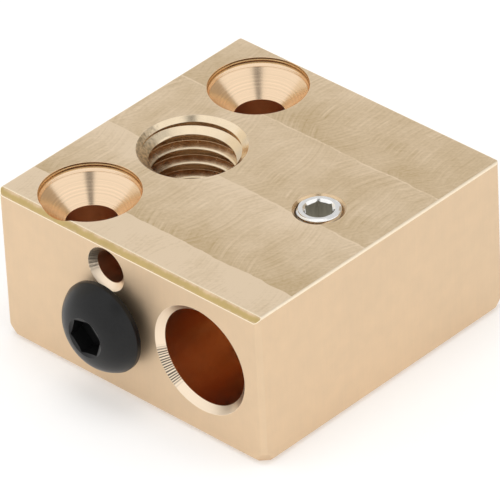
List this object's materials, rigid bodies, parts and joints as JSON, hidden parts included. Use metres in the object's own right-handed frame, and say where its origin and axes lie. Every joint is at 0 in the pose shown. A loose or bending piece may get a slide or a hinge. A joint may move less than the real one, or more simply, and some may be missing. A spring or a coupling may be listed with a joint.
{
  "type": "3d printer hot end heater block",
  "caption": "Brass heater block with a nozzle thread, heater bore, thermistor hole, countersunk fixing holes and clamp screws.",
  "frame": {"origin": "centre of the block's base, the face that meets the heat break", "axes": "+Z out of the nozzle face, -Y out of the face that the heater and thermistor enter, +X away from the nozzle thread"},
  "size_m": [0.02, 0.0223, 0.0101],
  "materials": {
    "brass": "milled, satin",
    "zinc_steel": "bright plated",
    "black_oxide": "satin black oxide"
  },
  "bodies": {
    "block": {"heater_block": "brass"},
    "heater_screw": {"heater_clamp_screw": "zinc_steel"},
    "thermistor_screw": {"thermistor_clamp_screw": "black_oxide"}
  },
  "joints": [
    {"name": "heater_screw_travel", "type": "slide", "parent": "block", "child": "heater_screw", "axis": [0, 0, 1], "range_m": [-0.001, 0.0025]},
    {"name": "thermistor_screw_travel", "type": "slide", "parent": "block", "child": "thermistor_screw", "axis": [0, -1, 0], "range_m": [-0.0005, 0.005]}
  ]
}
